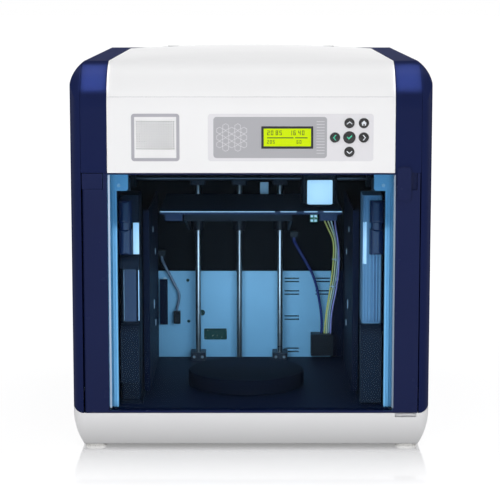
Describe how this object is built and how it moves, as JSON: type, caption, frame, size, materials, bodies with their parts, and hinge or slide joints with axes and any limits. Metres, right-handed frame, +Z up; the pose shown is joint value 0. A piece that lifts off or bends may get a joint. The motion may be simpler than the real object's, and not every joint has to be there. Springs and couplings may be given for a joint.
{
  "type": "three-d printer",
  "caption": "Enclosed desktop three-d printer with a hinged clear door, a lifting lid, a key panel, a moving bed and gantry, and a scanning turntable.",
  "frame": {"origin": "on the table under the middle of the machine's box", "axes": "+Z up, -Y out of the front door, +X to the right seen from the front"},
  "size_m": [0.468, 0.558, 0.51],
  "materials": {
    "blue_shell": "dark navy moulded plastic with a soft gloss",
    "white_shell": "white moulded plastic, satin",
    "foot_rubber": "pale grey rubber",
    "panel_grey": "printed grey panel film",
    "black_plastic": "black moulded plastic",
    "key_black": "glossy black keys",
    "display": "lime green back-lit display",
    "circuit_board": "green circuit board",
    "window_tint": "clear window with a blue tint",
    "scan_glass": "coated optical glass",
    "hinge_steel": "turned steel",
    "dark_sheet": "dark blue painted sheet",
    "pale_sheet": "pale grey coated sheet",
    "black_sheet": "black powder coat",
    "rib_grey": "ribbed grey plastic",
    "rod_chrome": "ground chromed rods",
    "clamp_grey": "cast aluminium",
    "motor_dark": "black motor housings and sliders",
    "belt_rubber": "toothed belt rubber",
    "wire_skin": "insulated wire",
    "bed_metal": "anodised bed plate",
    "nozzle_brass": "machined brass"
  },
  "bodies": {
    "root": {"base_tray": "white_shell", "feet": "foot_rubber", "left_side_panel": "blue_shell", "right_side_panel": "blue_shell", "left_rail": "blue_shell", "right_rail": "blue_shell", "rear_cover": "blue_shell", "front_fascia": "white_shell", "control_panel": "panel_grey", "lcd_bezel": "black_plastic", "lcd_module": "display", "keypad_board": "circuit_board", "grille_plate": "white_shell", "lid_hinges": "hinge_steel", "door_hinges": "black_plastic", "chamber_floor": "dark_sheet", "lower_back_wall": "pale_sheet", "upper_back_wall": "black_sheet", "left_inner_wall": "dark_sheet", "right_inner_wall": "dark_sheet", "chassis": "pale_sheet", "left_scan_tower": "black_plastic", "right_scan_tower": "rib_grey", "scan_optics": "scan_glass", "guide_rods": "rod_chrome", "rod_clamps": "clamp_grey", "drive_motors": "motor_dark", "y_belts": "belt_rubber", "wire_harness": "wire_skin", "connector_block": "black_plastic", "turntable_base": "motor_dark", "power_supply": "hinge_steel", "main_board": "circuit_board", "filament_cartridge": "white_shell", "rear_fan": "black_plastic", "power_inlet": "black_plastic"},
    "door": {"door_frame": "blue_shell", "door_window": "window_tint", "door_handle": "blue_shell"},
    "lid": {"lid": "white_shell"},
    "key_up": {"key_up": "key_black"},
    "key_home": {"key_home": "key_black"},
    "key_left": {"key_left": "key_black"},
    "key_ok": {"key_ok": "key_black"},
    "key_right": {"key_right": "key_black"},
    "key_down": {"key_down": "key_black"},
    "bed": {"bed_carriage": "black_sheet", "bed_plate": "bed_metal"},
    "lead_screw": {"lead_screw": "hinge_steel"},
    "gantry": {"gantry_sliders": "motor_dark", "x_rods": "rod_chrome", "x_motor": "motor_dark", "x_belt": "belt_rubber"},
    "x_pulley": {"x_pulley": "hinge_steel"},
    "y_drive_shaft": {"y_drive_shaft": "hinge_steel"},
    "head": {"head_housing": "black_plastic", "hot_end": "nozzle_brass"},
    "turntable": {"turntable_disc": "black_plastic"},
    "fan_rotor": {"fan_rotor": "black_plastic"},
    "power_switch": {"power_switch": "black_plastic"}
  },
  "joints": [
    {"name": "door_swing", "type": "hinge", "parent": "root", "child": "door", "pos_m": [-0.2145, -0.271, 0.2], "axis": [0, 0, -1], "range_deg": [0, 105]},
    {"name": "lid_lift", "type": "hinge", "parent": "root", "child": "lid", "pos_m": [0, 0.227, 0.503], "axis": [-1, 0, 0], "range_deg": [0, 65]},
    {"name": "press_up", "type": "slide", "parent": "root", "child": "key_up", "axis": [0, 1, 0], "range_m": [0, 0.001], "stiffness_N_per_m": 400},
    {"name": "press_home", "type": "slide", "parent": "root", "child": "key_home", "axis": [0, 1, 0], "range_m": [0, 0.001], "stiffness_N_per_m": 400},
    {"name": "press_left", "type": "slide", "parent": "root", "child": "key_left", "axis": [0, 1, 0], "range_m": [0, 0.001], "stiffness_N_per_m": 400},
    {"name": "press_ok", "type": "slide", "parent": "root", "child": "key_ok", "axis": [0, 1, 0], "range_m": [0, 0.001], "stiffness_N_per_m": 400},
    {"name": "press_right", "type": "slide", "parent": "root", "child": "key_right", "axis": [0, 1, 0], "range_m": [0, 0.001], "stiffness_N_per_m": 400},
    {"name": "press_down", "type": "slide", "parent": "root", "child": "key_down", "axis": [0, 1, 0], "range_m": [0, 0.001], "stiffness_N_per_m": 400},
    {"name": "bed_travel", "type": "slide", "parent": "root", "child": "bed", "axis": [0, 0, 1], "range_m": [-0.18, 0]},
    {"name": "screw_turn", "type": "hinge", "parent": "root", "child": "lead_screw", "pos_m": [-0.017, 0.05, 0.2], "axis": [0, 0, 1], "continuous": true},
    {"name": "gantry_travel", "type": "slide", "parent": "root", "child": "gantry", "axis": [0, 1, 0], "range_m": [-0.03, 0.145]},
    {"name": "shaft_turn", "type": "hinge", "parent": "root", "child": "y_drive_shaft", "pos_m": [0, 0.06, 0.358], "axis": [1, 0, 0], "continuous": true},
    {"name": "head_travel", "type": "slide", "parent": "gantry", "child": "head", "axis": [1, 0, 0], "range_m": [-0.2, 0.02]},
    {"name": "pulley_turn", "type": "hinge", "parent": "gantry", "child": "x_pulley", "pos_m": [-0.16, -0.145, 0.36], "axis": [0, 0, 1], "continuous": true},
    {"name": "table_turn", "type": "hinge", "parent": "root", "child": "turntable", "pos_m": [-0.0067, -0.125, 0.06], "axis": [0, 0, 1], "continuous": true},
    {"name": "fan_turn", "type": "hinge", "parent": "root", "child": "fan_rotor", "pos_m": [-0.13, 0.268, 0.13], "axis": [0, 1, 0], "continuous": true},
    {"name": "switch_rock", "type": "hinge", "parent": "root", "child": "power_switch", "pos_m": [0.15, 0.274, 0.104], "axis": [-1, 0, 0], "range_deg": [0, 16]}
  ],
  "couplings": [
    {"joint": "screw_turn", "follows": "bed_travel", "rad_per_m": 785.4},
    {"joint": "shaft_turn", "follows": "gantry_travel", "rad_per_m": 166.67},
    {"joint": "pulley_turn", "follows": "head_travel", "rad_per_m": 166.67}
  ]
}
